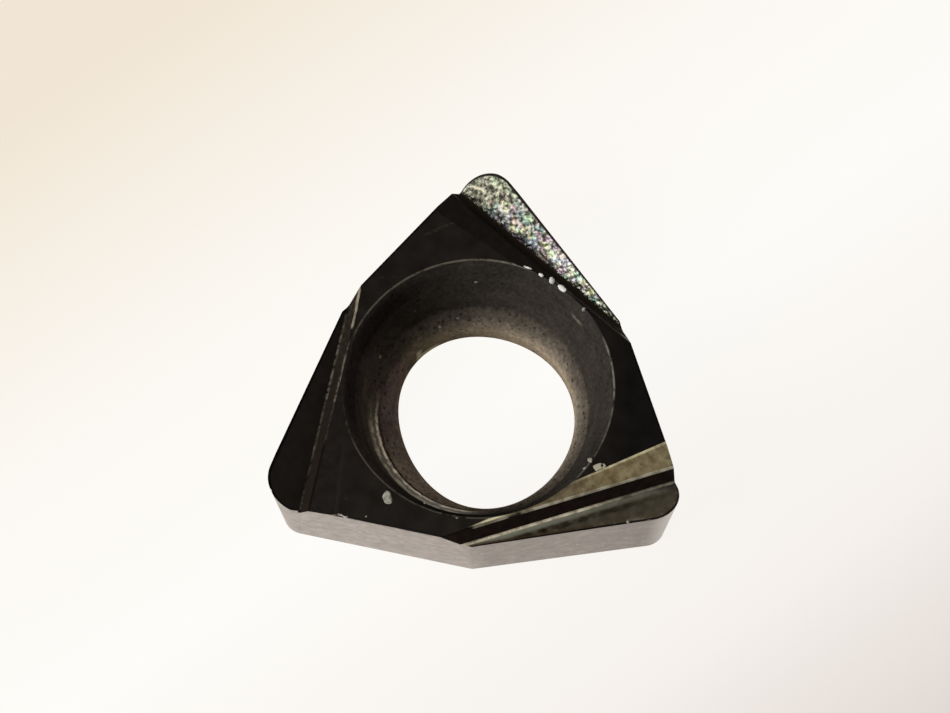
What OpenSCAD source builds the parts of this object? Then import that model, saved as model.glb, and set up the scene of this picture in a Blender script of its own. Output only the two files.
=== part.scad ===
// Boring insert: a small three-nosed screw-on cutting insert, pressed and sintered in one piece.
// Units are millimetres. The origin is on the hole axis in the flat seating face.
// +Z points to the cutting face and one nose points along +Y.

/* [Node] */
// Sub-part to draw, or all of them

/* [Body] */
// Diameter of the circle that touches all six sides at the cutting face
inscribed_d = 3.97; // [3:0.01:13]
// Thickness from the seating face to the cutting face
thick = 1.59; // [1:0.01:5]
// Angle between the two sides that meet in a nose
nose_angle = 80; // [72:1:88]
// Radius of each nose at the cutting face
nose_r = 0.4; // [0.2:0.05:0.6]
// Lean of every flank, inward toward the seating face
clearance = 5; // [0:0.5:7]

/* [Screw hole] */
// Diameter of the straight throat that the screw shank passes through
bore_d = 2.3; // [2:0.05:2.6]
// Diameter of the countersink where it meets the cutting face
rim_d = 3.36; // [3:0.02:3.4]
// Height of the throat, measured up from the seating face
throat_len = 0.25; // [0.1:0.05:0.6]
// Radius that rounds the countersink into the throat
throat_blend_r = 0.3; // [0.1:0.05:0.6]

/* [Chip grooves] */
// Turn of each groove away from the side that it follows
groove_skew = 9.9; // [5:0.1:15]
// Downhill slope of each groove toward its nose
groove_pitch = 1.3; // [0:0.1:5]
// Depth of the groove root, where the inscribed circle touches the side
groove_depth = 0.232; // [0.1:0.002:0.35]
// Distance of the groove root from the side at the same place
groove_inset = 0.136; // [0.08:0.002:0.3]
// Slope of the rake face, from the cutting edge down to the root
rake = 31; // [15:0.5:45]
// Slope of the steep wall behind the root
wall_angle = 61; // [50:1:80]
// Height of that wall
wall_rise = 0.22; // [0.05:0.01:0.3]
// Slope of the shoulder between the wall and the cutting face
shoulder_angle = 11; // [8:1:45]
// Radius in the root of the groove
root_r = 0.03; // [0.02:0.01:0.1]

/* [Hidden] */
$fn = 96;
noses = 3;
nose_pitch = 360 / noses;
first_nose = 90;
inscribed_r = inscribed_d / 2;
bore_r = bore_d / 2;
rim_r = rim_d / 2;
// Angle from a nose direction to the outward normal of each of its two sides
side_turn = 90 - nose_angle / 2;
// Distance from the hole axis to the centre of a nose radius
nose_centre = (inscribed_r - nose_r) / sin(nose_angle / 2);
lean = thick * tan(clearance);
reach = 2 * inscribed_d;
over = 0.5;
// Countersink: half angle of the cone, and where the blend touches cone and throat
sink_half = atan((rim_r - bore_r) / (thick - throat_len));
blend_cut = throat_blend_r * tan(sink_half / 2);
rim_over = over * tan(sink_half);
throat_top = throat_len - blend_cut;
blend_x = bore_r + blend_cut * sin(sink_half);
blend_z = throat_len + blend_cut * cos(sink_half);
// Groove root: how far up each face the root radius touches
root_turn = (180 - rake - wall_angle) / 2;
root_touch = root_r / tan(root_turn);
root_up = root_r / sin(root_turn);
root_dir = wall_angle + root_turn;
wall_run = wall_rise / tan(wall_angle);

// Everything outside one flank, for a side whose normal is +X
module flank_cut() {
    translate([inscribed_r, 0, thick])
        rotate([0, clearance, 0])
            translate([0, -reach, -reach])
                cube([reach, 2 * reach, 2 * reach]);
}

// Material between the sharp corner and the rounded nose, for a nose along +X
module nose_cut() {
    translate([nose_centre, 0, 0])
        difference() {
            translate([0, 0, -over])
                linear_extrude(height = thick + 2 * over)
                    polygon([
                        [0, 0],
                        [reach * cos(side_turn), -reach * sin(side_turn)],
                        [reach * 2, 0],
                        [reach * cos(side_turn), reach * sin(side_turn)]
                    ]);
            translate([0, 0, -over])
                cylinder(
                    h = thick + 2 * over,
                    r1 = nose_r - lean - over * tan(clearance),
                    r2 = nose_r + over * tan(clearance)
                );
        }
}

module blank() {
    difference() {
        translate([-reach / 2, -reach / 2, 0])
            cube([reach, reach, thick]);
        for (k = [0 : noses - 1]) {
            rotate([0, 0, first_nose + k * nose_pitch - side_turn])
                flank_cut();
            rotate([0, 0, first_nose + k * nose_pitch + side_turn])
                flank_cut();
            rotate([0, 0, first_nose + k * nose_pitch])
                nose_cut();
        }
    }
}

// Half section of the screw hole: throat, blend and countersink
module hole_section() {
    difference() {
        polygon([
            [0, -over],
            [bore_r, -over],
            [bore_r, throat_top],
            [blend_x, blend_z],
            [rim_r + rim_over, thick + over],
            [0, thick + over]
        ]);
        translate([bore_r + throat_blend_r, throat_top])
            circle(r = throat_blend_r);
    }
}

module screw_hole() {
    rotate_extrude()
        hole_section();
}

// Section of a chip groove: root at the origin, +X toward the hole, +Y up
module groove_section() {
    union() {
        polygon([
            [-reach * cos(rake), reach * sin(rake)],
            [-root_touch * cos(rake), root_touch * sin(rake)],
            [root_touch * cos(wall_angle), root_touch * sin(wall_angle)],
            [wall_run, wall_rise],
            [wall_run + reach * cos(shoulder_angle), wall_rise + reach * sin(shoulder_angle)],
            [wall_run + reach * cos(shoulder_angle), reach],
            [-reach * cos(rake), reach]
        ]);
        translate([root_up * cos(root_dir), root_up * sin(root_dir)])
            circle(r = root_r);
    }
}

// Straight groove for a side whose normal is -Y, running toward the nose at +X
module groove_cut() {
    translate([0, groove_inset - inscribed_r, thick - groove_depth])
        rotate([0, groove_pitch, groove_skew])
            rotate([90, 0, 90])
                translate([0, 0, -reach / 2])
                    linear_extrude(height = reach)
                        groove_section();
}

module insert() {
    color([0.27, 0.26, 0.25])
        difference() {
            blank();
            screw_hole();
            for (k = [0 : noses - 1])
                rotate([0, 0, first_nose + k * nose_pitch - side_turn + 90])
                    groove_cut();
        }
}

insert();
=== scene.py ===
# A small carbide boring insert lies on a pale table, seen from above its front side.
# Shapes are drawn in millimetres in the CAD frame and scaled to metres at the end.
import math

import bmesh
import bpy
from mathutils import Matrix, Vector, noise


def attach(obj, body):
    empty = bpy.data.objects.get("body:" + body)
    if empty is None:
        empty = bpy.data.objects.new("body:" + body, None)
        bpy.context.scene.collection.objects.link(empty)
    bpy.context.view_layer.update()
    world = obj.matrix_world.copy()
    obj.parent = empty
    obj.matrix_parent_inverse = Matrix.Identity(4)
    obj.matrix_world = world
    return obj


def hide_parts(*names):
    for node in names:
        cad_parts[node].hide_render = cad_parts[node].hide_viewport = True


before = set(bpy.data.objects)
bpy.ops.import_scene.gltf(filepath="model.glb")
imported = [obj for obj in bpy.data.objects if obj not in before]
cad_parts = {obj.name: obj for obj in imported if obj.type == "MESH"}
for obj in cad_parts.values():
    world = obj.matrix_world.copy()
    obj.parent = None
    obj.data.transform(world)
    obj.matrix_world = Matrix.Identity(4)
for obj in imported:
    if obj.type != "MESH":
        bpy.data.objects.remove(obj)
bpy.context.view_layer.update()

MM = 0.001

# Body, as in the CAD model
INSCRIBED_R = 3.97 / 2
THICK = 1.59
NOSE_ANGLE = 80
NOSE_R = 0.4
CLEARANCE = math.radians(5)
NOSES = 3
FIRST_NOSE = 90
SIDE_TURN = 90 - NOSE_ANGLE / 2
NOSE_PITCH = 360 / NOSES
NOSE_CENTRE = (INSCRIBED_R - NOSE_R) / math.sin(math.radians(NOSE_ANGLE / 2))
MID_CORNER = INSCRIBED_R / math.cos(math.radians(NOSE_PITCH / 2 - SIDE_TURN))
EDGE_BREAK = 0.02
HONE = 0.012

# Screw hole: countersink, neck and the throat, which the press left a little off the axis and not quite round
RIM_R = 1.68
RIM_ROUND = 0.028
LIP_R = 1.6
LIP_DOWN = 0.12
STEEP_R = 1.43
STEEP_DOWN = 0.75
NECK_R = 1.268
NECK_UP = 0.51
RING_R = 1.385
RING_UP = 0.66
THROAT_R = 1.134
THROAT_FLARE = 1.6
THROAT_DRIFT = Vector((0.0986, 0.0852, 0.0))
OVAL = 0.036
OVAL_TURN = math.radians(-60)
LOBES = 0.025
LOBES_TURN = math.radians(23)

# Chip grooves
GROOVE_SKEW = math.radians(9.9)
GROOVE_PITCH = math.radians(1.3)
GROOVE_DEPTH = 0.232
GROOVE_INSET = 0.136
RAKE = math.radians(31)
WALL_ANGLE = math.radians(61)
WALL_RISE = 0.22
SHOULDER_ANGLE = math.radians(11)
ROOT_R = 0.03
CREST_BREAK = 0.02
WALL_RUN = WALL_RISE / math.tan(WALL_ANGLE)
TOP_GROOVE = FIRST_NOSE - SIDE_TURN
LEFT_GROOVE = TOP_GROOVE + NOSE_PITCH
FRONT_GROOVE = LEFT_GROOVE + NOSE_PITCH

# Crumbled edges: the deepest chips of the front groove's edge and of the plain front side
GROOVE_CHIP = 0.06
SIDE_CHIP = 0.02
FRONT_Y = -1.4
FINE_CHIPS = 9
COARSE_CHIPS = 2.5
COARSE_SHIFT = Vector((4, 7, 1))

# Grit stands no higher than this over the cutting face
GRIT_PROUD = 0.018

# The table lies this far under the seating face, so that the two never share a plane
TABLE_GAP = 0.001

# How finely the shapes are cut
NOSE_STEPS = 40
SIDE_CUTS = 80
HOLE_STEPS = 240
THROAT_STEPS = 12
RIM_STEPS = 5
ROOT_STEPS = 8
CREST_STEPS = 4
TABLE_STEPS = 96
SMOOTH_BELOW = math.radians(24)
REACH = 8.0
OVER = 0.5
TOP_ROW = THICK - 0.1

# Distances too small to matter: the cap's rise over the edge, points to merge, points on a line
FLAT = 1e-4
MERGE = 1e-5
ON_LINE = 1e-6

UP = Vector((0, 0, 1))

# The bright streak on the thin part between the hole and the front groove, seen from above
STREAK_BY_HOLE = dict(X=0.205, Y=-1.705, Turn=math.radians(27), Length=0.6, Width=0.065)

# Painted highlights on stretches of the groove edges: how far off the root, then start, end and fade along
# the groove, and strength. Faint ones are narrow and broken into dots.
FAINT = 0.29
EDGE_HIGHLIGHTS = {
    FRONT_GROOVE: [
        (0.0, -0.4, 1.1, 0.5, 1.0),
        (0.0, 1.2, 2.4, 0.3, 0.3),
        (WALL_RUN, 0.5, 2.4, 0.2, 0.8),
        (WALL_RUN, -0.25, 0.12, 0.06, 0.5),
    ],
    LEFT_GROOVE: [
        (0.0, -0.3, 0.4, 0.06, 0.2),
        (0.0, 0.42, 0.76, 0.05, 0.28),
        (0.0, 0.85, 1.5, 0.1, 0.13),
        (0.0, 1.5, 2.2, 0.2, 0.07),
        (WALL_RUN, -0.6, -0.15, 0.05, 0.5),
        (WALL_RUN, 0.55, 0.85, 0.04, 0.22),
        (WALL_RUN, 0.9, 1.35, 0.1, 0.07),
    ],
}

# Painted glints of the top land: places on a soft noise, and how much lighter or darker than the land the
# colour is painted there
GLINTS = [(0.36, 0.2), (0.46, 0.7), (0.54, 1.3), (0.64, 2.6)]

# Finishes, in the order of the insert's material slots
BLACK, HOLE, EDGE, WALL, LAND, SHOULDER, FLANK, SEAT, GRIT = range(9)


def direction(degrees):
    """Unit vector in the plane of the cutting face, at an angle from +X."""
    turn = math.radians(degrees)
    return Vector((math.cos(turn), math.sin(turn), 0))


def about_axis(degrees):
    """A turn about the Z axis."""
    return Matrix.Rotation(math.radians(degrees), 3, "Z")


def add_outline(bm, inset, height):
    """The insert's closed outline at a height: three rounded noses and the six sides between them."""
    old = set(bm.verts)
    centre = NOSE_CENTRE * direction(FIRST_NOSE) + height * UP
    start = bm.verts.new(centre + (NOSE_R - inset) * direction(FIRST_NOSE - SIDE_TURN))
    arc = bmesh.ops.spin(
        bm, geom=[start], cent=centre, axis=UP, angle=math.radians(2 * SIDE_TURN), steps=NOSE_STEPS
    )
    nose_end = next(e for e in arc["geom_last"] if isinstance(e, bmesh.types.BMVert))
    corner_out = (INSCRIBED_R - inset) / INSCRIBED_R * MID_CORNER
    corner = bm.verts.new(corner_out * direction(FIRST_NOSE + NOSE_PITCH / 2) + height * UP)
    next_nose = bm.verts.new(about_axis(NOSE_PITCH) @ start.co)
    plain_side = bm.edges.new((nose_end, corner))
    grooved_side = bm.edges.new((corner, next_nose))
    bmesh.ops.subdivide_edges(bm, edges=[plain_side], cuts=SIDE_CUTS)
    bmesh.ops.subdivide_edges(bm, edges=[grooved_side], cuts=SIDE_CUTS)
    third = [v for v in bm.verts if v not in old]
    edges = list({e for v in third for e in v.link_edges})
    for k in range(1, NOSES):
        copy = bmesh.ops.duplicate(bm, geom=third + edges)
        verts = [e for e in copy["geom"] if isinstance(e, bmesh.types.BMVert)]
        bmesh.ops.rotate(bm, verts=verts, cent=(0, 0, 0), matrix=about_axis(NOSE_PITCH * k))
    new = [v for v in bm.verts if v not in old]
    bmesh.ops.remove_doubles(bm, verts=new, dist=MERGE)


def ring(bm, height):
    """The edges of the outline that lies at a height."""
    return [e for e in bm.edges if all(abs(v.co.z - height) < MERGE for v in e.verts)]


def lean(height):
    """How far the flanks have drawn in at a height."""
    return (THICK - height) * math.tan(CLEARANCE)


def chip(v, most):
    """Moves a vertex on a cutting edge in and down, by a little more in some places than in others."""
    at = Vector((v.co.x, v.co.y, 0))
    fine = 0.7 * noise.noise(at * FINE_CHIPS)
    coarse = 0.6 * noise.noise(at * COARSE_CHIPS + COARSE_SHIFT)
    depth = most * max(0, fine + coarse - 0.1)
    v.co.xy *= 1 - depth / at.length
    v.co.z -= 0.6 * depth


def crumble_groove_edge(bm):
    """Breaks up the cutting edge of the groove at the front."""
    for v in bm.verts:
        around = {face.material_index for face in v.link_faces}
        if LAND in around and FLANK in around and v.co.y < FRONT_Y:
            chip(v, GROOVE_CHIP)


def blank():
    """The ground blank: leaning flanks, conical noses and a broken edge at the seating face."""
    bm = bmesh.new()
    rows = [
        (lean(0) + EDGE_BREAK, 0.0),
        (lean(EDGE_BREAK), EDGE_BREAK),
        (lean(TOP_ROW), TOP_ROW),
        (lean(THICK - HONE), THICK - HONE),
        (0.3 * HONE, THICK - 0.3 * HONE),
        (HONE, THICK),
        (3 * HONE, THICK + FLAT),
    ]
    for inset, height in rows:
        add_outline(bm, inset, height)
    heights = [height for inset, height in rows]
    for lower, upper in zip(heights, heights[1:]):
        bmesh.ops.bridge_loops(bm, edges=ring(bm, lower) + ring(bm, upper))
    bmesh.ops.contextual_create(bm, geom=ring(bm, heights[0]))
    bmesh.ops.contextual_create(bm, geom=ring(bm, heights[-1]))
    plain_front_side = direction(FIRST_NOSE + NOSE_PITCH + SIDE_TURN)
    for v in bm.verts:
        on_side = v.co.dot(plain_front_side) > INSCRIBED_R - 2 * HONE
        if on_side and THICK - 0.5 * HONE < v.co.z < THICK + 0.5 * FLAT:
            chip(v, SIDE_CHIP)
        v.co.z = min(v.co.z, THICK)
    bmesh.ops.recalc_face_normals(bm, faces=bm.faces)
    for face in bm.faces:
        side = FLANK if face.calc_center_median().z > EDGE_BREAK else SEAT
        face.material_index = BLACK if face.normal.z > 0.9 else side
    return bm


def spin_round(bm, verts, steps):
    """Joins points into a profile and spins it once round the Z axis."""
    edges = [bm.edges.new(pair) for pair in zip(verts, verts[1:])]
    bmesh.ops.spin(
        bm, geom=verts + edges, cent=(0, 0, 0), axis=UP, angle=2 * math.pi, steps=steps, use_merge=True
    )


def hole_tool():
    """What the screw hole takes out: throat, neck, countersink and a rounded rim, spun round the axis."""
    bm = bmesh.new()
    points = [(0.0, -OVER), (THROAT_R, -OVER)]
    for i in range(THROAT_STEPS + 1):
        t = i / THROAT_STEPS
        points.append((THROAT_R + (NECK_R - THROAT_R) * t**THROAT_FLARE, NECK_UP * t))
    # The pressed ring, then a softened corner at each end of the steep wall
    foot = THICK - STEEP_DOWN
    lip = THICK - LIP_DOWN
    points += [
        (RING_R, RING_UP),
        (STEEP_R - 0.02, foot - 0.05),
        (STEEP_R + 0.008, foot + 0.04),
        (LIP_R - 0.008, lip - 0.04),
        (LIP_R + 0.015, lip + 0.02),
    ]
    slope = math.atan((RIM_R - LIP_R) / LIP_DOWN)
    tangent = RIM_ROUND * math.tan((math.pi / 2 - slope) / 2)
    round_x = RIM_R + tangent
    round_z = THICK - RIM_ROUND
    for i in range(RIM_STEPS + 1):
        turn = math.pi - slope - i / RIM_STEPS * (math.pi / 2 - slope)
        points.append((round_x + RIM_ROUND * math.cos(turn), round_z + RIM_ROUND * math.sin(turn)))
    points += [(round_x, THICK + OVER), (0.0, THICK + OVER)]
    spin_round(bm, [bm.verts.new((x, 0, z)) for x, z in points], HOLE_STEPS)
    bmesh.ops.remove_doubles(bm, verts=bm.verts, dist=MERGE)
    for v in bm.verts:
        t = min(max(v.co.z / NECK_UP, 0), 1)
        low = 1 - t * t * (3 - 2 * t)
        turn = math.atan2(v.co.y, v.co.x)
        swell = OVAL * math.cos(2 * (turn - OVAL_TURN)) + LOBES * math.cos(3 * (turn - LOBES_TURN))
        v.co.xy *= 1 + low * swell / THROAT_R
        v.co += THROAT_DRIFT * low
    bmesh.ops.recalc_face_normals(bm, faces=bm.faces)
    for face in bm.faces:
        at = face.calc_center_median()
        on_rim = THICK - RIM_ROUND < at.z < THICK + FLAT
        face.material_index = EDGE if on_rim else HOLE
    return bm


def groove_tool(side):
    """What a grinding wheel takes out along one side: rake face, rounded root, steep wall and shoulder."""
    bm = bmesh.new()
    shoulder_end = WALL_RUN + REACH * math.cos(SHOULDER_ANGLE)
    section = [
        (-REACH * math.cos(RAKE), REACH * math.sin(RAKE)),
        (0.0, 0.0),
        (WALL_RUN, WALL_RISE),
        (shoulder_end, WALL_RISE + REACH * math.sin(SHOULDER_ANGLE)),
        (shoulder_end, REACH),
        (-REACH * math.cos(RAKE), REACH),
    ]
    verts = [bm.verts.new((-REACH / 2, x, z)) for x, z in section]
    face = bm.faces.new(verts)
    run = bmesh.ops.extrude_face_region(bm, geom=[face])
    ends = [e for e in run["geom"] if isinstance(e, bmesh.types.BMVert)]
    bmesh.ops.translate(bm, verts=ends, vec=(REACH, 0, 0))
    root = Vector((0, 0))
    crest = Vector((WALL_RUN, WALL_RISE))
    root_width = ROOT_R * math.tan((RAKE + WALL_ANGLE) / 2)
    for line, width, steps in ((root, root_width, ROOT_STEPS), (crest, CREST_BREAK, CREST_STEPS)):
        bmesh.ops.bevel(
            bm,
            geom=[e for e in bm.edges if all((v.co.yz - line).length < ON_LINE for v in e.verts)],
            offset=width,
            offset_type="OFFSET",
            segments=steps,
            profile=0.5,
            affect="EDGES",
            material=-1,
        )
    for face in bm.faces:
        at = face.calc_center_median().yz
        by_root = at.length < root_width
        by_crest = (at - crest).length < CREST_BREAK
        plain = WALL if 0 < at.x < WALL_RUN else LAND if at.x < 0 else SHOULDER
        face.material_index = EDGE if by_root or by_crest else plain
    place = (
        Matrix.Rotation(math.radians(side + 90), 4, "Z")
        @ Matrix.Translation((0, GROOVE_INSET - INSCRIBED_R, THICK - GROOVE_DEPTH))
        @ Matrix.Rotation(GROOVE_SKEW, 4, "Z")
        @ Matrix.Rotation(GROOVE_PITCH, 4, "Y")
    )
    bmesh.ops.transform(bm, matrix=place, verts=bm.verts)
    bmesh.ops.recalc_face_normals(bm, faces=bm.faces)
    return bm


def grit(bm):
    """Pale flakes and dust stuck to the face, the rim and the countersink, each half sunk in."""
    # X, Y and depth under the cutting face, half length, half width, half height, and turn in degrees
    spots = [
        (-1.048, -1.465, 0.0, 0.062, 0.083, 0.03, 14),
        (1.52, -0.972, 0.0, 0.075, 0.045, 0.05, 20),
        (1.575, -0.96, 0.0, 0.035, 0.03, 0.04, 0),
        (1.41, -0.888, 0.0, 0.03, 0.035, 0.03, 60),
        (1.351, -0.993, 0.03, 0.03, 0.022, 0.03, 40),
        (0.555, 1.605, 0.02, 0.062, 0.015, 0.03, -18),
        (0.731, 1.514, 0.02, 0.038, 0.021, 0.03, -40),
        (0.868, 1.44, 0.02, 0.038, 0.042, 0.05, -20),
        (0.998, 1.346, 0.02, 0.066, 0.034, 0.05, -39),
        (1.279, 1.077, 0.02, 0.024, 0.028, 0.03, -50),
        (-0.08, 1.53, 0.39, 0.024, 0.018, 0.02, 0),
        (-0.298, 1.27, 1.04, 0.02, 0.018, 0.02, 0),
        (-0.521, 1.15, 1.05, 0.022, 0.02, 0.02, 0),
        (-0.082, 1.24, 1.15, 0.02, 0.018, 0.02, 0),
        (-0.006, 1.25, 1.14, 0.02, 0.018, 0.02, 0),
        (-1.26, 0.643, 0.8, 0.02, 0.034, 0.02, 20),
        (-0.593, -1.514, 0.0, 0.018, 0.014, 0.012, 0),
        (-0.194, -1.692, 0.0, 0.018, 0.012, 0.012, 0),
        (1.897, -1.659, 0.02, 0.022, 0.018, 0.015, 0),
        (-1.551, -1.726, 0.01, 0.028, 0.016, 0.012, 0),
        (-1.307, -1.717, 0.01, 0.024, 0.018, 0.012, 0),
    ]
    for i, (x, y, down, long, wide, tall, turn) in enumerate(spots):
        made = bmesh.ops.create_icosphere(bm, subdivisions=2, radius=1)["verts"]
        for v in made:
            v.co *= 1 + 0.35 * noise.noise(v.co * 1.3 + Vector((3 * i, 0, 0)))
        bmesh.ops.scale(bm, vec=(long, wide, tall), verts=made)
        bmesh.ops.rotate(bm, verts=made, cent=(0, 0, 0), matrix=about_axis(turn))
        bmesh.ops.translate(bm, vec=(x, y, THICK - down), verts=made)
        for face in {f for v in made for f in v.link_faces}:
            face.material_index = GRIT
        for v in made:
            v.co.z = min(v.co.z, THICK + GRIT_PROUD)


def as_object(bm, name, materials=()):
    """A bmesh as an object in the scene."""
    mesh = bpy.data.meshes.new(name)
    bm.to_mesh(mesh)
    bm.free()
    for material in materials:
        mesh.materials.append(material)
    made = bpy.data.objects.new(name, mesh)
    bpy.context.scene.collection.objects.link(made)
    return made


def cut(body, tools):
    """Takes the tools' shapes out of the body, one after another, and clears the tools away."""
    for tool in tools:
        step = body.modifiers.new(tool.name, "BOOLEAN")
        step.operation = "DIFFERENCE"
        step.solver = "EXACT"
        step.object = tool
    depsgraph = bpy.context.evaluated_depsgraph_get()
    mesh = bpy.data.meshes.new_from_object(body.evaluated_get(depsgraph))
    body.modifiers.clear()
    body.data = mesh
    for tool in tools:
        bpy.data.objects.remove(tool)


def sharpen(bm):
    """Smooth shading, broken at real edges and wherever one finish meets another."""
    for face in bm.faces:
        face.smooth = True
    for edge in bm.edges:
        around = {face.material_index for face in edge.link_faces}
        edge.smooth = len(around) == 1 and edge.calc_face_angle(0) < SMOOTH_BELOW


def cutting_insert(materials):
    """The whole insert: the blank with its hole and grooves cut, a crumbled front edge and grit."""
    body = as_object(blank(), "cutting_insert", materials)
    tools = [as_object(hole_tool(), "hole_tool", materials)]
    for k, side in enumerate((TOP_GROOVE, LEFT_GROOVE, FRONT_GROOVE)):
        tools.append(as_object(groove_tool(side), f"groove_tool_{k}", materials))
    cut(body, tools)
    mesh = body.data
    bm = bmesh.new()
    bm.from_mesh(mesh)
    bmesh.ops.remove_doubles(bm, verts=bm.verts, dist=FLAT)
    crumble_groove_edge(bm)
    grit(bm)
    sharpen(bm)
    bmesh.ops.scale(bm, vec=(MM, MM, MM), verts=bm.verts)
    bm.to_mesh(mesh)
    bm.free()
    return body


def wire(tree, kind, sources=None, **settings):
    """A shader node with its settings, and its inputs set to a value or wired to a socket."""
    node = tree.nodes.new(kind)
    for key, value in settings.items():
        setattr(node, key, value)
    for key, source in (sources or {}).items():
        if isinstance(source, bpy.types.NodeSocket):
            tree.links.new(source, node.inputs[key])
        else:
            node.inputs[key].default_value = source
    return node


def new_group(name, outputs, **inputs):
    """An empty shader group whose sockets are numbers; gives back the group and its two ends."""
    group = bpy.data.node_groups.new(name, "ShaderNodeTree")
    for label, value in inputs.items():
        socket = group.interface.new_socket(name=label, in_out="INPUT", socket_type="NodeSocketFloat")
        socket.default_value = value
    for label in outputs:
        group.interface.new_socket(name=label, in_out="OUTPUT", socket_type="NodeSocketFloat")
    return group, group.nodes.new("NodeGroupInput"), group.nodes.new("NodeGroupOutput")


def math_node(tree, operation, first, second=0.0):
    """One sum on numbers or sockets."""
    node = wire(tree, "ShaderNodeMath", {0: first, 1: second}, operation=operation)
    return node.outputs[0]


def in_grains(tree, size):
    """Object coordinates counted in grains of a size in millimetres."""
    place = wire(tree, "ShaderNodeTexCoord").outputs["Object"]
    per_metre = math_node(tree, "DIVIDE", 1 / MM, size)
    return wire(tree, "ShaderNodeVectorMath", {0: place, "Scale": per_metre}, operation="SCALE").outputs[0]


def place_mm(tree):
    """Sockets for a place's X, Y and Z in millimetres."""
    return wire(tree, "ShaderNodeSeparateXYZ", {0: in_grains(tree, 1.0)}).outputs


def from_above(tree):
    """Object coordinates in millimetres with the height left out."""
    flat = {0: in_grains(tree, 1.0), 1: (1, 1, 0)}
    return wire(tree, "ShaderNodeVectorMath", flat, operation="MULTIPLY").outputs[0]


def times(tree, first, *others):
    """A product of numbers or sockets."""
    for other in others:
        first = math_node(tree, "MULTIPLY", first, other)
    return first


def fade(tree, value, start, end, low=0.0, high=1.0):
    """A value's steady change from low to high between two bounds."""
    ends = {"Value": value, "From Min": start, "From Max": end, "To Min": low, "To Max": high}
    return wire(tree, "ShaderNodeMapRange", ends).outputs[0]


def grain_group():
    """Even grain: a soft noise of a size, pulled out along Z where it is streaked."""
    group, given, out = new_group("grain", ["Value"], Size=0.1, Streak=1.0, Detail=3.0)
    at = in_grains(group, given.outputs["Size"])
    flat = math_node(group, "DIVIDE", 1.0, given.outputs["Streak"])
    squeeze = wire(group, "ShaderNodeCombineXYZ", {0: 1.0, 1: 1.0, 2: flat}).outputs[0]
    at = wire(group, "ShaderNodeVectorMath", {0: at, 1: squeeze}, operation="MULTIPLY").outputs[0]
    values = {"Vector": at, "Scale": 1.0, "Detail": given.outputs["Detail"]}
    group.links.new(wire(group, "ShaderNodeTexNoise", values).outputs["Fac"], out.inputs["Value"])
    return group


def specks_group():
    """Scattered specks or pits: round spots in a share of the cells of a size."""
    group, given, out = new_group("specks", ["Mask"], Size=0.1, Share=0.3, Reach=0.25)
    at = in_grains(group, given.outputs["Size"])
    cells = wire(group, "ShaderNodeTexVoronoi", {"Vector": at, "Scale": 1.0, "Randomness": 1.0})
    chance = wire(group, "ShaderNodeSeparateColor", {0: cells.outputs["Color"]})
    picked = math_node(group, "LESS_THAN", chance.outputs[0], given.outputs["Share"])
    reach = math_node(group, "MULTIPLY", given.outputs["Reach"], chance.outputs[1])
    spot = fade(group, cells.outputs["Distance"], reach, 0.0)
    group.links.new(times(group, spot, picked), out.inputs["Mask"])
    return group


def mark_group():
    """One straight mark seen from above: its middle, length and width in millimetres, and its turn."""
    group, given, out = new_group("mark", ["Mask"], X=0.0, Y=0.0, Turn=0.0, Length=1.0, Width=0.03)
    place = in_grains(group, 1.0)
    middle = wire(group, "ShaderNodeCombineXYZ", {0: given.outputs["X"], 1: given.outputs["Y"]}).outputs[0]
    off = wire(group, "ShaderNodeVectorMath", {0: place, 1: middle}, operation="SUBTRACT").outputs[0]
    back = math_node(group, "MULTIPLY", given.outputs["Turn"], -1.0)
    turned = wire(group, "ShaderNodeVectorRotate", {"Vector": off, "Angle": back}, rotation_type="Z_AXIS")
    parts = wire(group, "ShaderNodeSeparateXYZ", {0: turned.outputs[0]}).outputs
    masks = []
    for part, size in ((parts[0], "Length"), (parts[1], "Width")):
        share = math_node(group, "DIVIDE", math_node(group, "ABSOLUTE", part), given.outputs[size])
        masks.append(fade(group, share, 0.5, 0.15))
    group.links.new(times(group, *masks), out.inputs["Mask"])
    return group


def zone_group():
    """A round patch seen from above: one within its reach of the middle, and nothing past its fade."""
    group, given, out = new_group("zone", ["Mask"], X=0.0, Y=0.0, Reach=0.5, Fade=0.2)
    flat = from_above(group)
    middle = wire(group, "ShaderNodeCombineXYZ", {0: given.outputs["X"], 1: given.outputs["Y"]}).outputs[0]
    far = wire(group, "ShaderNodeVectorMath", {0: flat, 1: middle}, operation="DISTANCE").outputs["Value"]
    past = math_node(group, "SUBTRACT", far, given.outputs["Reach"])
    share = math_node(group, "DIVIDE", past, given.outputs["Fade"])
    group.links.new(fade(group, share, 1.0, 0.0), out.inputs["Mask"])
    return group


def groove_group():
    """Place along and across the groove of a side, in millimetres from its root by the side's middle."""
    group, given, out = new_group("groove place", ["Along", "Across"], Side=0.0)
    run = math_node(group, "ADD", given.outputs["Side"], math.pi / 2 + GROOVE_SKEW)
    back = math_node(group, "MULTIPLY", run, -1.0)
    values = {"Vector": in_grains(group, 1.0), "Angle": back}
    turned = wire(group, "ShaderNodeVectorRotate", values, rotation_type="Z_AXIS").outputs[0]
    parts = wire(group, "ShaderNodeSeparateXYZ", {0: turned}).outputs
    root = GROOVE_INSET - INSCRIBED_R
    along = math_node(group, "SUBTRACT", parts[0], root * math.sin(GROOVE_SKEW))
    across = math_node(group, "SUBTRACT", parts[1], root * math.cos(GROOVE_SKEW))
    group.links.new(along, out.inputs["Along"])
    group.links.new(across, out.inputs["Across"])
    return group


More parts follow.
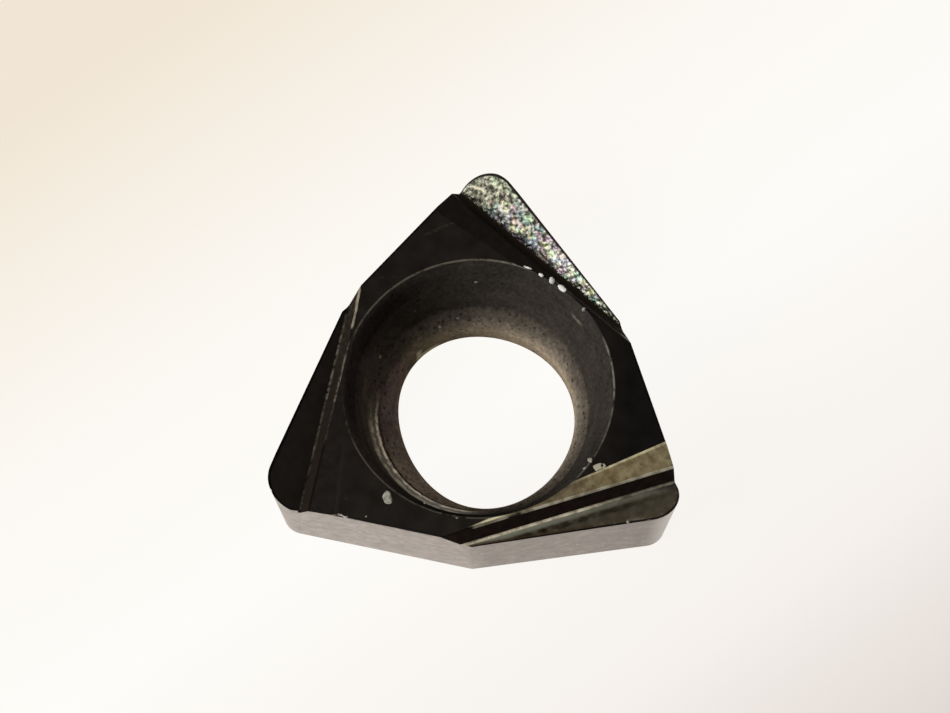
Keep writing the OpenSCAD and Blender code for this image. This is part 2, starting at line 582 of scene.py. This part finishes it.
def outline_group():
    """How far inside the insert's outline a place lies, seen from above, in millimetres."""
    group, _, out = new_group("inside outline", ["Value"])
    flat = from_above(group)
    parts = wire(group, "ShaderNodeSeparateXYZ", {0: flat}).outputs
    far = wire(group, "ShaderNodeVectorMath", {0: flat}, operation="LENGTH").outputs["Value"]
    turn = math_node(group, "ARCTAN2", parts[1], parts[0])
    turn = math_node(group, "SUBTRACT", turn, math.radians(FIRST_NOSE))
    turn = math_node(group, "PINGPONG", turn, math.radians(NOSE_PITCH / 2))
    off_side = math_node(group, "SUBTRACT", turn, math.radians(SIDE_TURN))
    side = times(group, far, math_node(group, "COSINE", off_side))
    along = times(group, far, math_node(group, "COSINE", turn))
    across = times(group, far, math_node(group, "SINE", turn))
    past = math_node(group, "POWER", math_node(group, "SUBTRACT", along, NOSE_CENTRE), 2.0)
    radius = math_node(group, "SQRT", math_node(group, "ADD", past, math_node(group, "POWER", across, 2.0)))
    nose = math_node(group, "ADD", radius, INSCRIBED_R - NOSE_R)
    at_nose = math_node(group, "GREATER_THAN", along, NOSE_CENTRE + 0.6 * NOSE_R)
    reach = math_node(group, "MAXIMUM", side, times(group, nose, at_nose))
    group.links.new(math_node(group, "SUBTRACT", INSCRIBED_R, reach), out.inputs["Value"])
    return group


def in_groove(tree, groove, side):
    """Sockets for the place along and across the groove of a side."""
    node = tree.nodes.new("ShaderNodeGroup")
    node.node_tree = groove
    node.inputs["Side"].default_value = math.radians(side)
    return node.outputs["Along"], node.outputs["Across"]


def band(tree, value, low, high, soft):
    """One where a value lies between two bounds, with soft ends."""
    return times(tree, fade(tree, value, low - soft, low), fade(tree, value, high + soft, high))


def use(tree, group, **values):
    """A group placed in a material with its own values; gives back its first output."""
    node = tree.nodes.new("ShaderNodeGroup")
    node.node_tree = group
    for label, value in values.items():
        node.inputs[label].default_value = value
    return node.outputs[0]


def ramp(tree, value, stops):
    """A colour ramp through (place, colour) stops, in linear colours."""
    node = wire(tree, "ShaderNodeValToRGB", {0: value})
    elements = node.color_ramp.elements
    while len(elements) < len(stops):
        elements.new(0.5)
    for element, (place, colour) in zip(elements, stops):
        element.position = place
        element.color = (*colour, 1)
    return node.outputs[0]


def blend_colour(tree, share, first, second, how="MIX"):
    """Two colours, each a linear (red, green, blue) or a socket, blended by a share."""
    first, second = (c if isinstance(c, bpy.types.NodeSocket) else (*c, 1) for c in (first, second))
    node = wire(tree, "ShaderNodeMix", {0: share, 6: first, 7: second}, data_type="RGBA", blend_type=how)
    return node.outputs[2]


def scaled(tree, colour, factor):
    """A colour times a factor that changes over the surface."""
    values = {0: 1.0, 6: colour, 7: factor}
    return wire(tree, "ShaderNodeMix", values, data_type="RGBA", blend_type="MULTIPLY").outputs[2]


def finish(name, metallic, roughness):
    """A new material; gives back the material, its tree and its shader."""
    made = bpy.data.materials.new(name)
    made.use_nodes = True
    shader = made.node_tree.nodes["Principled BSDF"]
    shader.inputs["Metallic"].default_value = metallic
    shader.inputs["Roughness"].default_value = roughness
    return made, made.node_tree, shader


def bump(tree, shader, height, depth):
    """Relief: a height from 0 to 1, worth a depth in millimetres."""
    node = wire(tree, "ShaderNodeBump", {"Height": height, "Distance": depth * MM, "Strength": 1.0})
    tree.links.new(node.outputs[0], shader.inputs["Normal"])


def black_face(grain, specks, mark, outline):
    """The sintered cutting face: black-brown satin skin, cloudy, with faint specks and handling marks."""
    made, tree, shader = finish("black_face", 0.35, 0.38)
    shader.inputs["Specular IOR Level"].default_value = 0.35
    cloud = use(tree, grain, Size=0.22, Detail=4.0)
    colour = ramp(tree, cloud, [(0.3, (0.0135, 0.0093, 0.007)), (0.7, (0.023, 0.0172, 0.0136))])
    right = fade(tree, place_mm(tree)[0], 1.0, 1.9, 1.0, 0.35)
    colour = scaled(tree, colour, right)
    dust = use(tree, specks, Size=0.16, Share=0.3, Reach=0.2)
    colour = blend_colour(tree, dust, colour, (0.045, 0.04, 0.033))
    marks = [
        dict(X=-0.49, Y=2.115, Turn=math.radians(25), Length=0.55, Width=0.045),
        dict(X=-0.66, Y=2.02, Turn=math.radians(22), Length=0.3, Width=0.035),
        dict(X=-0.2, Y=2.24, Turn=math.radians(24), Length=0.2, Width=0.07),
    ]
    breaks = fade(tree, use(tree, grain, Size=0.04, Detail=2.0), 0.4, 0.6, 0.1, 0.6)
    for values in marks:
        wear_and_glint = times(tree, use(tree, mark, **values), breaks)
        colour = blend_colour(tree, wear_and_glint, colour, (0.07, 0.06, 0.048))
    colour = blend_colour(tree, use(tree, mark, **STREAK_BY_HOLE), colour, (0.35, 0.34, 0.25))
    # Painted shade: a near-black line along the honed cutting edge
    by_edge = fade(tree, use(tree, outline), 0.04, 0.02)
    colour = blend_colour(tree, by_edge, colour, (0.002, 0.0015, 0.001))
    tree.links.new(colour, shader.inputs["Base Color"])
    tree.links.new(fade(tree, cloud, 0.0, 1.0, 0.3, 0.5), shader.inputs["Roughness"])
    bump(tree, shader, use(tree, grain, Size=0.05, Detail=4.0), 0.0012)
    return made


def hole_wall(grain, specks, zone, mark):
    """The pressed hole: dark countersink, a ring burnished by the screw head, and a brown, pitted throat."""
    made, tree, shader = finish("hole_wall", 0.0, 0.7)
    shader.inputs["Specular IOR Level"].default_value = 0.0
    parts = place_mm(tree)
    up = parts[2]
    streaks = use(tree, grain, Size=0.06, Streak=3.0, Detail=4.0)
    waver = fade(tree, streaks, 0.0, 1.0, -0.09, 0.09)
    right = fade(tree, parts[0], 0.2, 1.1)
    height = math_node(tree, "SUBTRACT", math_node(tree, "ADD", up, waver), times(tree, right, 0.03))
    colour = ramp(
        tree,
        fade(tree, height, 0.0, THICK),
        [
            (0.0, (0.26, 0.205, 0.145)),
            (0.18, (0.36, 0.292, 0.21)),
            (0.27, (0.225, 0.185, 0.138)),
            (0.34, (0.105, 0.088, 0.069)),
            (0.46, (0.044, 0.037, 0.0305)),
            (1.0, (0.036, 0.031, 0.026)),
        ],
    )
    # Painted light: the countersink is painted lighter towards the right, the side that faces the lamp
    lighter = fade(tree, right, 0.0, 1.0, 1.0, 1.2)
    colour = scaled(tree, colour, lighter)
    low = band(tree, up, -1.0, 0.43, 0.06)
    left = times(tree, use(tree, zone, X=-1.2, Y=-0.05, Reach=0.5, Fade=0.45), low)
    purple = ramp(tree, height, [(0.05, (0.44, 0.36, 0.305)), (0.16, (0.3, 0.225, 0.22))])
    colour = blend_colour(tree, left, colour, purple)
    front_left = times(tree, use(tree, zone, X=-0.75, Y=-0.95, Reach=0.4, Fade=0.4), low)
    colour = blend_colour(tree, front_left, colour, (0.5, 0.41, 0.335))
    # Painted light: the left of the hole is painted a lighter brown where the lamps leave it in shade
    left_painted_light = use(tree, zone, X=-1.5, Y=-0.4, Reach=0.75, Fade=0.8)
    brown = ramp(tree, height, [(0.9, (0.15, 0.122, 0.1)), (1.0, (0.105, 0.083, 0.08))])
    colour = blend_colour(tree, times(tree, left_painted_light, band(tree, up, 0.5, 2.0, 0.1)), colour, brown)
    shadow = use(tree, zone, X=-1.4, Y=0.5, Reach=0.8, Fade=0.5)
    shadow = times(tree, shadow, band(tree, up, 1.26, 1.5, 0.07), 0.45)
    colour = blend_colour(tree, shadow, colour, (0.01, 0.007, 0.008))
    for size, streak in ((0.05, 1.5), (0.035, 1.0), (0.28, 1.0)):
        cloudy = use(tree, grain, Size=size, Streak=streak, Detail=3.0)
        colour = scaled(tree, colour, fade(tree, cloudy, 0.3, 0.7, 0.8, 1.2))
    pitted = use(tree, specks, Size=0.055, Share=0.45, Reach=0.75)
    pitted = times(tree, pitted, band(tree, up, 0.3, 0.7, 0.15))
    pits = math_node(tree, "MAXIMUM", pitted, use(tree, specks, Size=0.08, Share=0.12, Reach=0.5))
    colour = blend_colour(tree, pits, colour, (0.01, 0.0075, 0.0055))
    bright = use(tree, specks, Size=0.12, Share=0.15, Reach=0.25)
    colour = blend_colour(tree, bright, colour, (0.14, 0.125, 0.1))
    by_screw = use(tree, zone, X=-0.85, Y=-0.85, Reach=0.75, Fade=0.5)
    ring_height = math_node(tree, "ADD", up, times(tree, waver, 0.5))
    broken = fade(tree, use(tree, grain, Size=0.09, Detail=4.0), 0.38, 0.58, 0.1, 1.0)
    ring = times(tree, band(tree, ring_height, 0.5, 0.66, 0.02), by_screw)
    colour = blend_colour(tree, ring, colour, (0.05, 0.038, 0.025))
    # The ring's light edge lines are partly burnished metal and partly a painted highlight
    outer = times(tree, band(tree, ring_height, 0.6, 0.635, 0.02), by_screw, broken)
    colour = blend_colour(tree, outer, colour, (0.25, 0.21, 0.14))
    inner = times(tree, band(tree, ring_height, 0.5, 0.53, 0.025), by_screw, broken)
    colour = blend_colour(tree, inner, colour, (0.52, 0.44, 0.31))
    # Painted shade: a darker line in the crease just under the ring
    crease_shade = times(tree, band(tree, ring_height, 0.44, 0.47, 0.02), by_screw)
    colour = blend_colour(tree, crease_shade, colour, (0.12, 0.085, 0.08))
    smudge = use(tree, mark, X=1.19, Y=1.025, Turn=math.radians(-50), Length=0.26, Width=0.026)
    smudge = times(tree, smudge, band(tree, up, 1.2, 2.0, 0.1), broken)
    colour = blend_colour(tree, smudge, colour, (0.17, 0.16, 0.125))
    # Painted light: near-white cream patches low in the throat at the back left
    for x, y, reach, high in ((-0.67, 0.97, 0.42, 0.07), (-0.77, 0.885, 0.12, 0.22)):
        painted_light_cream = use(tree, mark, X=x, Y=y, Turn=math.radians(30), Length=reach, Width=reach)
        painted_light_cream = times(tree, painted_light_cream, band(tree, up, -1.0, high, 0.04))
        colour = blend_colour(tree, painted_light_cream, colour, (1.0, 0.95, 0.68))
    tree.links.new(colour, shader.inputs["Base Color"])
    tree.links.new(times(tree, ring, 0.65), shader.inputs["Metallic"])
    tree.links.new(fade(tree, ring, 0.0, 1.0, 0.7, 0.4), shader.inputs["Roughness"])
    rough = use(tree, grain, Size=0.045, Detail=4.0)
    bump(tree, shader, math_node(tree, "SUBTRACT", rough, pits), 0.003)
    return made


def bright_edge(grain, zone, groove):
    """Edges: the hole's thin light rim, partly a painted highlight, and painted highlights on stretches of
    each groove's root and crest.
    """
    made, tree, shader = finish("bright_edge", 0.6, 0.42)
    shader.inputs["Specular IOR Level"].default_value = 0.1
    breaks = use(tree, grain, Size=0.11, Detail=3.0)
    # The rim's light colour is partly its own and partly a painted highlight, painted darker at the back
    # right and lighter at the front left
    rim = ramp(tree, breaks, [(0.38, (0.04, 0.035, 0.027)), (0.54, (0.18, 0.165, 0.13))])
    rim_dimmed = use(tree, zone, X=1.33, Y=0.98, Reach=0.28, Fade=0.2)
    rim = blend_colour(tree, rim_dimmed, rim, (0.02, 0.017, 0.014))
    clear = use(tree, zone, X=-1.3, Y=-1.02, Reach=0.25, Fade=0.2)
    rim = blend_colour(tree, clear, rim, (0.22, 0.2, 0.165))
    on_rim = use(tree, zone, Reach=RIM_R + 0.02, Fade=0.01)
    to_top = {0: in_grains(tree, 1.0), 1: direction(TOP_GROOVE)}
    to_top = wire(tree, "ShaderNodeVectorMath", to_top, operation="DOT_PRODUCT").outputs["Value"]
    _, across = in_groove(tree, groove, TOP_GROOVE)
    top = blend_colour(tree, fade(tree, across, 0.04, 0.09), (0.08, 0.06, 0.042), (0.014, 0.0105, 0.008))
    dark = blend_colour(tree, fade(tree, to_top, 1.2, 1.3), (0.012, 0.009, 0.0075), top)
    colour = blend_colour(tree, on_rim, dark, rim)
    # Painted highlights along stretches of the groove roots and crests
    wear_and_glint = ramp(tree, breaks, [(0.35, (0.48, 0.42, 0.3)), (0.6, (0.95, 0.88, 0.7))])
    dots = fade(tree, use(tree, grain, Size=0.045, Detail=1.0), 0.3, 0.62)
    for side, stretches in EDGE_HIGHLIGHTS.items():
        along, across = in_groove(tree, groove, side)
        for off, start, end, soft, share in stretches:
            half = 0.012 if share < FAINT else 0.03
            near = band(tree, across, off - half, off + half, 0.01)
            mask = times(tree, near, band(tree, along, start, end, soft), share)
            if share < FAINT:
                mask = times(tree, mask, dots)
            colour = blend_colour(tree, mask, colour, wear_and_glint)
    tree.links.new(colour, shader.inputs["Base Color"])
    tree.links.new(fade(tree, to_top, 1.2, 1.3, 0.6, 0.0), shader.inputs["Metallic"])
    bump(tree, shader, use(tree, grain, Size=0.05, Detail=2.0), 0.001)
    return made


def dark_wall(grain, mark, groove):
    """The steep wall behind each groove: dull black-brown, with a painted reflection of the pale table in
    streaky lighter brown on the left and top walls, and painted highlights where two of them run out.
    """
    made, tree, shader = finish("dark_wall", 0.0, 0.65)
    shader.inputs["Specular IOR Level"].default_value = 0.0
    clouds = use(tree, grain, Size=0.1, Detail=4.0)
    colour = ramp(tree, clouds, [(0.3, (0.012, 0.008, 0.0062)), (0.7, (0.021, 0.015, 0.012))])
    along, across = in_groove(tree, groove, LEFT_GROOVE)
    streak_noise = fade(tree, use(tree, grain, Size=0.06, Detail=3.0), 0.45, 0.65, 0.0, 0.8)
    # Painted reflection of the pale table: lighter, streaky brown on the left wall
    on_left = times(tree, band(tree, across, -0.1, 0.3, 0.01), 0.6)
    colour = blend_colour(tree, on_left, colour, (0.024, 0.0185, 0.0145))
    streaked_reflection = times(tree, band(tree, across, -0.05, 0.2, 0.01), band(tree, along, -1.0, 0.0, 0.9), streak_noise)
    colour = blend_colour(tree, streaked_reflection, colour, (0.045, 0.037, 0.028))
    # Painted highlight: a pale patch where the left wall runs out
    pale = times(tree, band(tree, across, 0.105, 0.2, 0.02), band(tree, along, -0.8, -0.5, 0.14))
    colour = blend_colour(tree, pale, colour, (0.34, 0.285, 0.18))
    # Painted reflection of the pale table: lighter brown on the top wall, most near its root, with streaks
    along, across = in_groove(tree, groove, TOP_GROOVE)
    top = times(tree, band(tree, across, -0.1, 0.3, 0.01), band(tree, along, -1.0, 3.0, 0.1))
    by_root = band(tree, across, -0.1, 0.02, 0.05)
    brown = blend_colour(tree, by_root, (0.058, 0.049, 0.041), (0.118, 0.094, 0.073))
    colour = blend_colour(tree, top, colour, brown)
    colour = blend_colour(tree, times(tree, top, streak_noise), colour, (0.1, 0.082, 0.066))
    # Painted highlight: a pale sliver where the top wall runs out
    sliver_highlight = use(tree, mark, X=1.82, Y=0.695, Turn=math.radians(-42), Length=0.26, Width=0.09)
    colour = blend_colour(tree, sliver_highlight, colour, (0.9, 0.85, 0.68))
    tree.links.new(colour, shader.inputs["Base Color"])
    bump(tree, shader, use(tree, grain, Size=0.04, Detail=3.0), 0.001)
    return made


def ground_land(grain, groove, outline):
    """Freshly ground rake faces: painted glints at the top, painted shade at the left, olive at the front."""
    made, tree, shader = finish("ground_land", 0.4, 0.3)
    parts = place_mm(tree)
    inside = use(tree, outline)
    clouds = use(tree, grain, Size=0.12, Detail=4.0)
    fine = use(tree, grain, Size=0.05, Detail=2.0)

    # The top land's glints are partly painted: its colour is painted lighter and darker in facets, besides
    # the relief
    hues = wire(tree, "ShaderNodeTexVoronoi", {"Vector": in_grains(tree, 0.1), "Scale": 1.0}).outputs["Color"]
    glint = blend_colour(tree, 0.22, (0.06, 0.06, 0.052), hues, "SOFT_LIGHT")
    olive_nose = fade(tree, parts[1], 2.2, 2.6)
    glint = blend_colour(tree, times(tree, olive_nose, 0.7), glint, (0.05, 0.049, 0.034))
    brighter = fade(tree, parts[1], 1.9, 0.9, 1.0, 2.0)
    glint = scaled(tree, glint, brighter)
    blobs = use(tree, grain, Size=0.05, Detail=1.5)
    spread = ramp(tree, blobs, [(at, 3 * (level,)) for at, level in GLINTS])
    colour = scaled(tree, glint, spread)
    _, across = in_groove(tree, groove, TOP_GROOVE)
    # Painted shade: a ragged dark line along the top groove's root
    ragged = math_node(tree, "ADD", across, fade(tree, fine, 0.0, 1.0, -0.04, 0.04))
    colour = blend_colour(tree, fade(tree, ragged, -0.024, -0.016), colour, (0.012, 0.008, 0.005))

    front = fade(tree, parts[1], -1.0, -1.2)
    along, across = in_groove(tree, groove, FRONT_GROOVE)
    olive = ramp(tree, clouds, [(0.3, (0.10, 0.083, 0.052)), (0.7, (0.18, 0.16, 0.11))])
    # Painted highlight along the front land's root, and a painted shadow line just below it
    by_root = times(tree, fade(tree, across, -0.12, -0.06), fade(tree, along, 2.2, 0.6, 0.4))
    by_root = times(tree, by_root, fade(tree, clouds, 0.2, 0.6, 0.6, 1.0))
    olive = blend_colour(tree, by_root, olive, (0.42, 0.42, 0.33))
    painted_shadow_line = times(tree, band(tree, across, -0.16, -0.11, 0.03), fade(tree, along, 2.2, 1.2))
    painted_shadow_line = times(tree, painted_shadow_line, fade(tree, clouds, 0.7, 0.4), 0.9)
    olive = blend_colour(tree, painted_shadow_line, olive, (0.02, 0.013, 0.007))
    mottled = times(tree, fade(tree, clouds, 0.5, 0.58), band(tree, inside, -1.0, 0.045, 0.03))
    olive = blend_colour(tree, times(tree, mottled, 0.6), olive, (0.38, 0.3, 0.23))
    patchy = math_node(tree, "MAXIMUM", fade(tree, clouds, 0.5, 0.4), fade(tree, along, 1.3, 0.7))
    stained = times(tree, patchy, band(tree, inside, -1.0, 0.05, 0.03))
    olive = blend_colour(tree, times(tree, stained, 0.8), olive, (0.11, 0.072, 0.038))
    colour = blend_colour(tree, front, colour, olive)

    # Painted shade: the left land is painted darker and plainer than the same ground face elsewhere
    left = fade(tree, parts[0], -1.1, -1.35)
    plain = ramp(tree, clouds, [(0.3, (0.031, 0.0245, 0.0205)), (0.7, (0.045, 0.036, 0.031))])
    colour = blend_colour(tree, left, colour, plain)
    # Painted shade: a dark line along the honed cutting edge
    colour = blend_colour(tree, fade(tree, inside, 0.042, 0.028), colour, (0.004, 0.003, 0.0025))
    tree.links.new(colour, shader.inputs["Base Color"])
    elsewhere = math_node(tree, "MAXIMUM", left, front)
    tree.links.new(fade(tree, elsewhere, 0.0, 1.0, 1.0, 0.4), shader.inputs["Metallic"])
    smooth = math_node(tree, "MAXIMUM", left, times(tree, front, 0.8))
    facets = times(tree, use(tree, grain, Size=0.065, Detail=1.0), math_node(tree, "SUBTRACT", 1.0, smooth))
    bump(tree, shader, facets, 0.0115)
    return made


def ground_shoulder(grain, specks, zone, mark):
    """The shoulder behind each groove: smooth bright metal, a little stained, with a painted highlight along
    part of its upper edge.
    """
    made, tree, shader = finish("ground_shoulder", 1.0, 0.24)
    parts = place_mm(tree)
    stains = use(tree, grain, Size=0.11, Detail=4.0)
    olives = [(0.3, (0.08, 0.062, 0.034)), (0.5, (0.138, 0.117, 0.074)), (0.72, (0.185, 0.17, 0.117))]
    olive = ramp(tree, stains, olives)
    grey = ramp(tree, stains, [(0.3, (0.115, 0.093, 0.076)), (0.7, (0.165, 0.138, 0.118))])
    front = times(tree, fade(tree, parts[1], -0.3, -0.5), fade(tree, parts[0], -1.2, -1.0))
    colour = blend_colour(tree, front, grey, olive)
    spots = times(tree, use(tree, specks, Size=0.06, Share=0.35, Reach=0.5), front)
    colour = blend_colour(tree, spots, colour, (0.06, 0.042, 0.022))
    soiled = use(tree, zone, X=0.95, Y=-1.4, Reach=0.3, Fade=0.35)
    soiled = times(tree, soiled, fade(tree, stains, 0.3, 0.6, 0.9, 0.4))
    colour = blend_colour(tree, soiled, colour, (0.055, 0.042, 0.03))
    # Painted highlight along the upper edge of the shoulder at the right
    wear_and_glint = use(tree, mark, X=1.88, Y=-0.85, Turn=math.radians(26.2), Length=1.7, Width=0.05)
    wear_and_glint = times(tree, wear_and_glint, fade(tree, stains, 0.35, 0.55, 0.5, 1.0))
    colour = blend_colour(tree, wear_and_glint, colour, (0.4, 0.375, 0.28))
    colour = blend_colour(tree, use(tree, mark, **STREAK_BY_HOLE), colour, (0.42, 0.42, 0.31))
    tree.links.new(colour, shader.inputs["Base Color"])
    bump(tree, shader, stains, 0.0035)
    return made


def ground_flank(grain, specks, zone):
    """Ground flanks: light grey mottled metal with faint level grinding lines, painted shade at the right
    front and a painted highlight at the right nose.
    """
    made, tree, shader = finish("ground_flank", 0.75, 0.42)
    lines = use(tree, grain, Size=0.5, Streak=0.05, Detail=3.0)
    patches = use(tree, grain, Size=0.14, Detail=5.0)
    greys = [(0.3, (0.3, 0.25, 0.213)), (0.5, (0.37, 0.314, 0.273)), (0.7, (0.455, 0.393, 0.347))]
    colour = ramp(tree, patches, greys)
    colour = scaled(tree, colour, fade(tree, lines, 0.3, 0.7, 0.92, 1.08))
    mottling = fade(tree, use(tree, grain, Size=0.055, Detail=3.0), 0.3, 0.7, 0.88, 1.12)
    colour = scaled(tree, colour, mottling)
    across = place_mm(tree)[0]
    # Painted shade: the flank is painted darker towards the right front and the right nose
    for start, end, dull in ((0.03, 0.16, (0.7, 0.68, 0.655)), (1.4, 2.0, (0.86, 0.86, 0.84))):
        side_shade = blend_colour(tree, fade(tree, across, start, end), (1, 1, 1), dull)
        colour = scaled(tree, colour, side_shade)
    # Painted highlight down the right nose
    colour = blend_colour(tree, fade(tree, across, 2.15, 2.45), colour, (0.64, 0.6, 0.55))
    dust = use(tree, specks, Size=0.1, Share=0.25, Reach=0.3)
    colour = blend_colour(tree, dust, colour, (0.66, 0.62, 0.57))
    soiled = use(tree, zone, X=0.02, Y=-2.0, Reach=0.02, Fade=0.12)
    soiled = times(tree, soiled, fade(tree, patches, 0.4, 0.6, 0.1, 0.8))
    colour = blend_colour(tree, soiled, colour, (0.17, 0.13, 0.1))
    tree.links.new(colour, shader.inputs["Base Color"])
    bump(tree, shader, math_node(tree, "ADD", times(tree, lines, 0.15), patches), 0.0035)
    return made


def seat_face(grain):
    """The seating face: ground flat, cloudy grey, with a duller sheen than the flanks."""
    made, tree, shader = finish("seat_face", 0.8, 0.55)
    patches = use(tree, grain, Size=0.3, Detail=5.0)
    colour = ramp(tree, patches, [(0.3, (0.17, 0.16, 0.145)), (0.7, (0.27, 0.255, 0.235))])
    tree.links.new(colour, shader.inputs["Base Color"])
    bump(tree, shader, use(tree, grain, Size=0.05, Detail=3.0), 0.0006)
    return made


def pale_grit(grain, zone):
    """Pale grit: dull specks, with brighter flakes on the rim by the top groove."""
    made, tree, shader = finish("pale_grit", 0.0, 0.4)
    crumbs = use(tree, grain, Size=0.03, Detail=2.0)
    colour = ramp(tree, crumbs, [(0.35, (0.28, 0.27, 0.21)), (0.6, (0.5, 0.5, 0.42))])
    flakes = use(tree, zone, X=0.8, Y=1.46, Reach=0.28, Fade=0.05)
    colour = blend_colour(tree, flakes, colour, (0.95, 0.95, 0.88))
    lump = use(tree, zone, X=1.54, Y=-0.965, Reach=0.1, Fade=0.05)
    colour = blend_colour(tree, lump, colour, (0.55, 0.52, 0.37))
    for x, y, reach in ((-0.3, 1.2, 0.45), (-0.4, -1.6, 0.25)):
        dim = use(tree, zone, X=x, Y=y, Reach=reach, Fade=0.1)
        colour = blend_colour(tree, dim, colour, (0.22, 0.2, 0.165))
    tree.links.new(colour, shader.inputs["Base Color"])
    return made


def finishes():
    """The insert's materials in the order of its slots."""
    grain = grain_group()
    specks = specks_group()
    mark = mark_group()
    zone = zone_group()
    groove = groove_group()
    outline = outline_group()
    return [
        black_face(grain, specks, mark, outline),
        hole_wall(grain, specks, zone, mark),
        bright_edge(grain, zone, groove),
        dark_wall(grain, mark, groove),
        ground_land(grain, groove, outline),
        ground_shoulder(grain, specks, zone, mark),
        ground_flank(grain, specks, zone),
        seat_face(grain),
        pale_grit(grain, zone),
    ]


def area_light(name, aim_from, distance, size, radiance, colour=(1, 1, 1)):
    """A soft round lamp that shines on the insert from a direction, at a radiance."""
    light = bpy.data.lights.new(name, "AREA")
    light.shape = "DISK"
    light.size = size
    light.energy = radiance * math.pi * math.pi * (size / 2) ** 2
    light.color = colour
    lamp = bpy.data.objects.new(name, light)
    lamp.location = Vector(aim_from).normalized() * distance
    lamp.rotation_euler = lamp.location.to_track_quat("Z", "Y").to_euler()
    lamp.visible_camera = False
    bpy.context.scene.collection.objects.link(lamp)


def pale_table():
    """Pale board: near white, warmer and darker towards two corners of the view."""
    made, tree, shader = finish("pale_table", 0.0, 0.9)
    shader.inputs["Specular IOR Level"].default_value = 0.1
    values = {"Vector": in_grains(tree, 1.0), "Angle": math.radians(-38)}
    turned = wire(tree, "ShaderNodeVectorRotate", values, rotation_type="Z_AXIS").outputs[0]
    across = wire(tree, "ShaderNodeSeparateXYZ", {0: turned}).outputs[1]
    colour = ramp(
        tree,
        fade(tree, across, -7.0, 7.0),
        [
            (0.0, (0.73, 0.665, 0.63)),
            (0.22, (0.93, 0.89, 0.85)),
            (0.5, (1.0, 0.985, 0.955)),
            (0.72, (0.98, 0.95, 0.90)),
            (1.0, (0.89, 0.80, 0.67)),
        ],
    )
    tree.links.new(colour, shader.inputs["Base Color"])
    path = wire(tree, "ShaderNodeLightPath").outputs
    seen = math_node(tree, "MAXIMUM", path["Is Camera Ray"], path["Is Glossy Ray"])
    seen = math_node(tree, "MAXIMUM", seen, path["Is Transmission Ray"])
    glow = wire(tree, "ShaderNodeEmission", {"Color": colour, "Strength": 1.0}).outputs[0]
    board = wire(tree, "ShaderNodeMixShader", {0: times(tree, seen, 0.96), 1: shader.outputs[0], 2: glow})
    under = wire(tree, "ShaderNodeNewGeometry").outputs["Backfacing"]
    clear = wire(tree, "ShaderNodeBsdfTransparent").outputs[0]
    surface = wire(tree, "ShaderNodeMixShader", {0: under, 1: board.outputs[0], 2: clear})
    tree.links.new(surface.outputs[0], tree.nodes["Material Output"].inputs["Surface"])
    return made


def table():
    """The table top in metres: a wide disc with a rising rim, clear from below to show the seating face."""
    bm = bmesh.new()
    profile = [(0, 0), (0.16, 0), (0.18, 0.003), (0.19, 0.012), (0.195, 0.03)]
    verts = [bm.verts.new((x, 0, z - TABLE_GAP * MM)) for x, z in profile]
    spin_round(bm, verts, TABLE_STEPS)
    bmesh.ops.remove_doubles(bm, verts=bm.verts, dist=MERGE * MM)
    floor = as_object(bm, "table", [pale_table()])
    floor.data.shade_smooth()


def room():
    """A dim room with two lamps high over the insert."""
    world = bpy.data.worlds.new("room")
    bpy.context.scene.world = world
    world.use_nodes = True
    world.node_tree.nodes["Background"].inputs["Color"].default_value = (0.05, 0.05, 0.05, 1)
    area_light("left_window", (-0.70, -0.37, 0.62), distance=0.08, size=0.055, radiance=8.0)
    warm = (1.0, 0.93, 0.78)
    area_light("front_lamp", (0.155, -0.12, 0.98), distance=0.09, size=0.038, radiance=1.5, colour=warm)


def photo_camera():
    """The photograph's camera: nearly over the cutting face, a little to the front."""
    azimuth = math.radians(2.0)
    elevation = math.radians(71.4)
    distance = 54.5
    view_px = 950
    px_per_mm = 80.97
    # The photograph's middle lies this far above and left of the hole's axis
    above_px = 31.0
    left_px = 3.0
    right = Vector((math.cos(azimuth), math.sin(azimuth), 0))
    level = math.cos(elevation)
    back = Vector((math.sin(azimuth) * level, -math.cos(azimuth) * level, math.sin(elevation)))
    up = back.cross(right)
    face = THICK * UP
    place = face + distance * back
    aim = face + up * (above_px / px_per_mm) - right * (left_px / px_per_mm)
    camera = bpy.data.cameras.new("photo_camera")
    camera.sensor_width = 36
    camera.lens = px_per_mm * distance / view_px * camera.sensor_width
    camera.clip_start = 0.001
    camera.clip_end = 10
    holder = bpy.data.objects.new("photo_camera", camera)
    holder.location = place * MM
    holder.rotation_euler = (place - aim).to_track_quat("Z", "Y").to_euler()
    bpy.context.scene.collection.objects.link(holder)
    bpy.context.scene.camera = holder


bpy.context.scene.view_settings.view_transform = "Standard"
body = cutting_insert(finishes())
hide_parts("insert")
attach(body, "root")
table()
room()
photo_camera()
